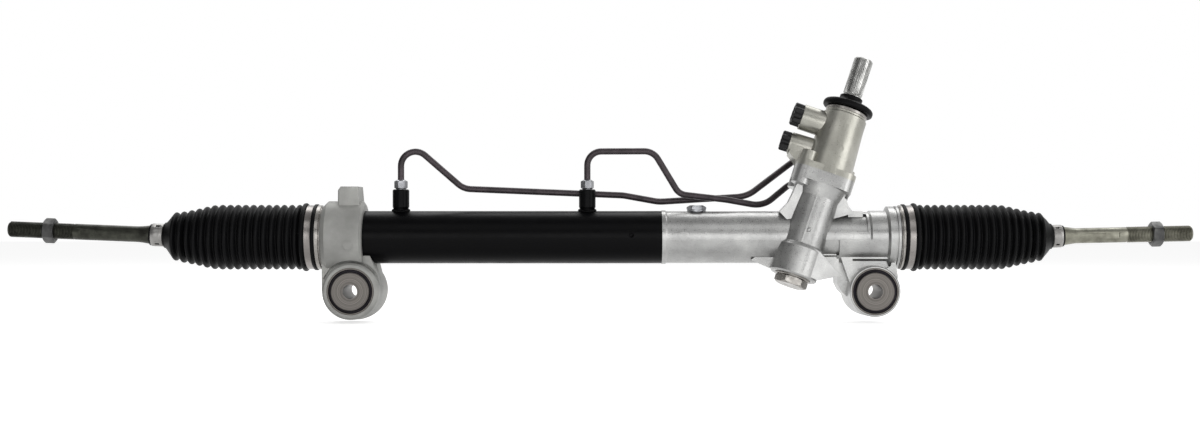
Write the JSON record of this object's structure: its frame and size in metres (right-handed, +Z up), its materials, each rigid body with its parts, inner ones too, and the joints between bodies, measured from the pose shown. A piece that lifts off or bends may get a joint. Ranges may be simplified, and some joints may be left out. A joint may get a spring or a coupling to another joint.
{
  "type": "power steering rack",
  "caption": "Hydraulic rack and pinion steering gear with cylinder tube, valve tower, transfer lines, bushed mounting eyes, bellows boots and threaded inner tie rods.",
  "frame": {"origin": "midway between the centres of the two mounting bush bores", "axes": "+X along the rack to the right, +Z up, -Y along the mounting bores towards the bolt heads and the pinion tower side"},
  "size_m": [1.1821, 0.1036, 0.2647],
  "materials": {
    "cast_aluminium_housing": "satin cast",
    "cast_aluminium_bracket": "blasted",
    "valve_aluminium": "as cast",
    "black_tube": "gloss black",
    "black_rubber": "matt",
    "bush_rubber": "matt",
    "machined_steel": "turned",
    "turned_aluminium": "turned",
    "bearing_steel": "ground",
    "ground_rack_steel": "ground",
    "hardened_steel": "dark",
    "zinc_steel": "zinc plated",
    "dark_rod_steel": "phosphated",
    "yellow_zinc_steel": "yellow zinc",
    "nut_steel": "dark zinc",
    "line_steel": "coated",
    "stainless_band": "rolled",
    "spring_clip_steel": "zinc plated",
    "black_plastic": "moulded",
    "nylon": "moulded",
    "seal_polymer": "moulded",
    "bronze_liner": "sintered"
  },
  "bodies": {
    "housing": {"gear_housing": "cast_aluminium_housing", "cylinder_tube": "black_tube", "end_bracket": "cast_aluminium_bracket", "valve_housing": "valve_aluminium", "valve_housing_screws": "zinc_steel", "valve_housing_seal": "seal_polymer", "pinion_end_cap": "turned_aluminium", "housing_plug": "zinc_steel", "lower_bearing": "bearing_steel", "middle_bearing": "bearing_steel", "pinion_seal": "seal_polymer", "upper_bearing": "bearing_steel", "input_shaft_seal": "seal_polymer", "dust_cover": "black_rubber", "rack_guide": "valve_aluminium", "guide_liner": "bronze_liner", "guide_disc_springs": "hardened_steel", "guide_cap": "zinc_steel", "guide_lock_nut": "zinc_steel", "inner_rod_seal": "seal_polymer", "rack_bush": "bronze_liner", "end_bush": "machined_steel", "end_rod_seal": "seal_polymer", "bush_shells": "machined_steel", "bush_rubbers": "bush_rubber", "bush_cores": "machined_steel", "left_transfer_line": "line_steel", "right_transfer_line": "line_steel", "cylinder_line_nuts": "zinc_steel", "valve_line_nuts": "zinc_steel", "pressure_port_plug": "black_plastic", "return_port_plug": "black_plastic", "left_boot": "black_rubber", "right_boot": "black_rubber", "left_boot_clamp": "stainless_band", "right_boot_clamp": "stainless_band"},
    "rack": {"rack_bar": "ground_rack_steel", "piston": "machined_steel", "piston_ring": "seal_polymer", "piston_clips": "hardened_steel", "left_rack_end": "hardened_steel", "right_rack_end": "hardened_steel", "ball_seats": "nylon", "claw_washers": "zinc_steel"},
    "pinion": {"pinion_gear": "hardened_steel", "pinion_nut": "hardened_steel", "valve_sleeve": "ground_rack_steel", "sleeve_rings": "seal_polymer", "sleeve_pin": "hardened_steel", "torsion_bar": "hardened_steel"},
    "input": {"input_shaft": "ground_rack_steel", "torsion_bar_pin": "hardened_steel"},
    "left_rod": {"left_tie_rod": "dark_rod_steel", "left_boot_clip": "spring_clip_steel"},
    "right_rod": {"right_tie_rod": "yellow_zinc_steel", "right_boot_clip": "spring_clip_steel"},
    "left_nut": {"left_jam_nut": "nut_steel"},
    "right_nut": {"right_jam_nut": "nut_steel"}
  },
  "joints": [
    {"name": "rack_slide", "type": "slide", "parent": "housing", "child": "rack", "axis": [1, 0, 0], "range_m": [-0.068, 0.068], "deforming": ["left_boot", "right_boot"]},
    {"name": "pinion_spin", "type": "hinge", "parent": "housing", "child": "pinion", "pos_m": [0.1918, -0.01561, 0.05567], "axis": [0.3272, 0.1478, 0.9333], "range_deg": [-526.5, 526.5]},
    {"name": "input_twist", "type": "hinge", "parent": "pinion", "child": "input", "pos_m": [0.1918, -0.01561, 0.05567], "axis": [0.3272, 0.1478, 0.9333], "range_deg": [-5, 5], "stiffness_Nm_per_rad": 69},
    {"name": "left_tie_rod_swing", "type": "hinge", "parent": "rack", "child": "left_rod", "pos_m": [-0.399, 0, 0.0532], "axis": [0, 1, 0], "range_deg": [-20.3, 15.7], "deforming": ["left_boot"]},
    {"name": "right_tie_rod_swing", "type": "hinge", "parent": "rack", "child": "right_rod", "pos_m": [0.395, 0, 0.0532], "axis": [0, -1, 0], "range_deg": [-19.2, 16.8], "deforming": ["right_boot"]},
    {"name": "left_jam_nut_travel", "type": "slide", "parent": "left_rod", "child": "left_nut", "axis": [-0.9992, 0, 0.0401], "range_m": [-0.013, 0.031]},
    {"name": "right_jam_nut_travel", "type": "slide", "parent": "right_rod", "child": "right_nut", "axis": [0.9998, 0, 0.0209], "range_m": [-0.013, 0.024]}
  ],
  "couplings": [
    {"joint": "pinion_spin", "follows": "rack_slide", "rad_per_m": -134.99}
  ]
}
